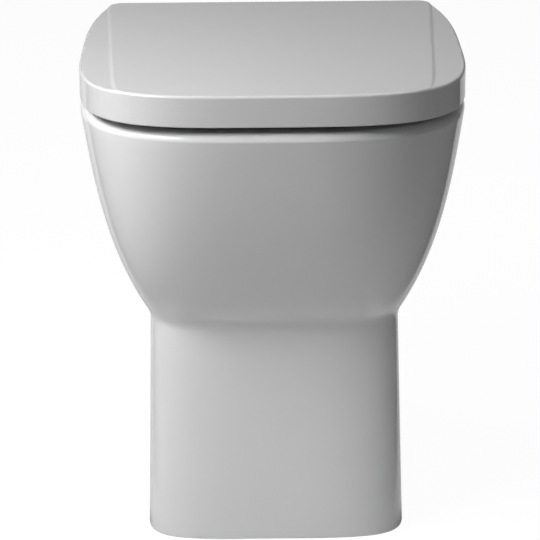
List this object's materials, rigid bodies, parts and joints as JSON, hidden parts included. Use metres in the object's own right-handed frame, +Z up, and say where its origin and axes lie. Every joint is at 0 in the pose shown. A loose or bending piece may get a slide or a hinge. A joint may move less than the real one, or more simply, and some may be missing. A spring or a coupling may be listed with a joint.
{
  "type": "back to wall toilet",
  "caption": "Floor-standing back to wall toilet: shrouded ceramic pan with a P-trap, soft-close seat ring and wrap-over lid on a rear hinge.",
  "frame": {"origin": "on the floor, under the centre of the toilet's plan rectangle", "axes": "+Z up, -Y towards the front of the seat, +Y towards the wall, X across"},
  "size_m": [0.358, 0.5, 0.45],
  "materials": {
    "ceramic": "gloss glaze",
    "seat": "polished",
    "chrome": "polished",
    "steel": "satin",
    "rubber": "matt",
    "nylon": "moulded"
  },
  "bodies": {
    "base": {"pan": "ceramic", "inlet_seal": "rubber", "floor_brackets": "nylon", "side_screws": "steel", "screw_sleeves": "nylon", "side_caps": "chrome", "hinge_gaskets": "rubber", "hinge_plates": "chrome", "hinge_pillars": "chrome", "hinge_studs": "steel", "cone_plugs": "rubber", "stud_washers": "steel", "wing_nuts": "nylon", "ring_damper_shaft": "steel", "lid_damper_shaft": "steel", "ring_pin": "steel", "lid_pin": "steel"},
    "ring": {"seat_ring": "seat", "ring_buffers": "rubber", "ring_damper": "steel", "ring_bush": "nylon"},
    "cover": {"lid": "seat", "lid_buffers": "rubber", "lid_damper": "steel", "lid_bush": "nylon"}
  },
  "joints": [
    {"name": "ring_hinge", "type": "hinge", "parent": "base", "child": "ring", "pos_m": [0, 0.181, 0.4365], "axis": [-1, 0, 0], "range_deg": [0, 90]},
    {"name": "lid_hinge", "type": "hinge", "parent": "ring", "child": "cover", "pos_m": [0, 0.181, 0.4365], "axis": [-1, 0, 0], "range_deg": [0, 95]}
  ]
}
